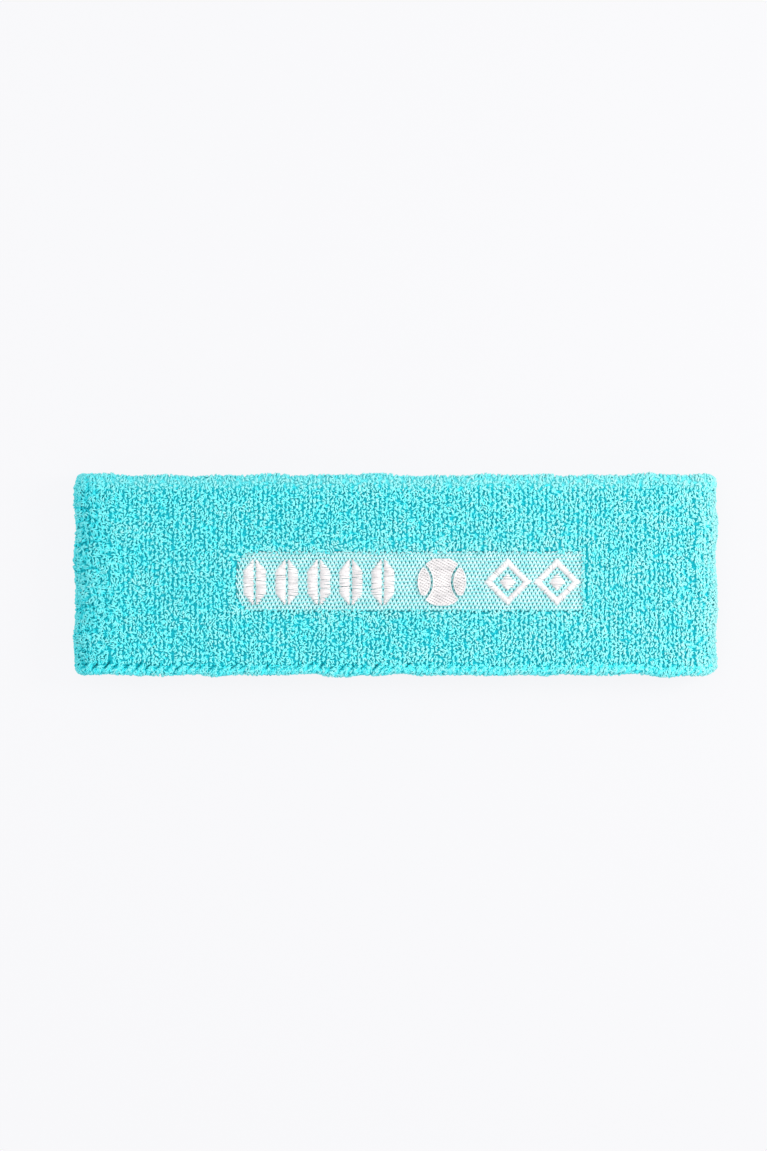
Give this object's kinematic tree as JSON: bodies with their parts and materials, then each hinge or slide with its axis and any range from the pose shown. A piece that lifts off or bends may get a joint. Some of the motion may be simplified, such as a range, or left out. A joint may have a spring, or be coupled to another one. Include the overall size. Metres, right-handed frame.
{
  "type": "sports headband",
  "caption": "Flattened terry sports headband: a doubled elastic knit ring with a turned top edge, an overlocked bottom edge and raised white stitched figures on a flat panel.",
  "frame": {"origin": "under the middle of the back web, on the surface that the flattened band lies on", "axes": "+Z out of the front face with the stitched panel, +X along the band, +Y across it towards the turned top edge"},
  "size_m": [0.18, 0.0564, 0.014],
  "materials": {
    "terry": "matte",
    "ground_knit": "matte",
    "window_knit": "matte",
    "embroidery": "satin",
    "seam_thread": "matte",
    "elastic": "matte",
    "backing": "matte",
    "bobbin": "matte"
  },
  "bodies": {
    "root": {"outer_terry": "terry", "turned_edge_terry": "terry", "inner_terry": "terry", "outer_ground": "ground_knit", "inner_ground": "ground_knit", "turned_edge_ground": "ground_knit", "edge_seam": "ground_knit", "knit_window": "window_knit", "outer_elastic": "elastic", "inner_elastic": "elastic", "embroidery_backing": "backing", "bobbin_thread": "bobbin", "overlock_threads": "seam_thread", "seam_needle_thread": "seam_thread", "ball_emblem": "embroidery", "diamond_left": "embroidery", "diamond_right": "embroidery", "lozenge_1": "embroidery", "lozenge_2": "embroidery", "lozenge_3": "embroidery", "lozenge_4": "embroidery", "lozenge_5": "embroidery"}
  },
  "joints": []
}
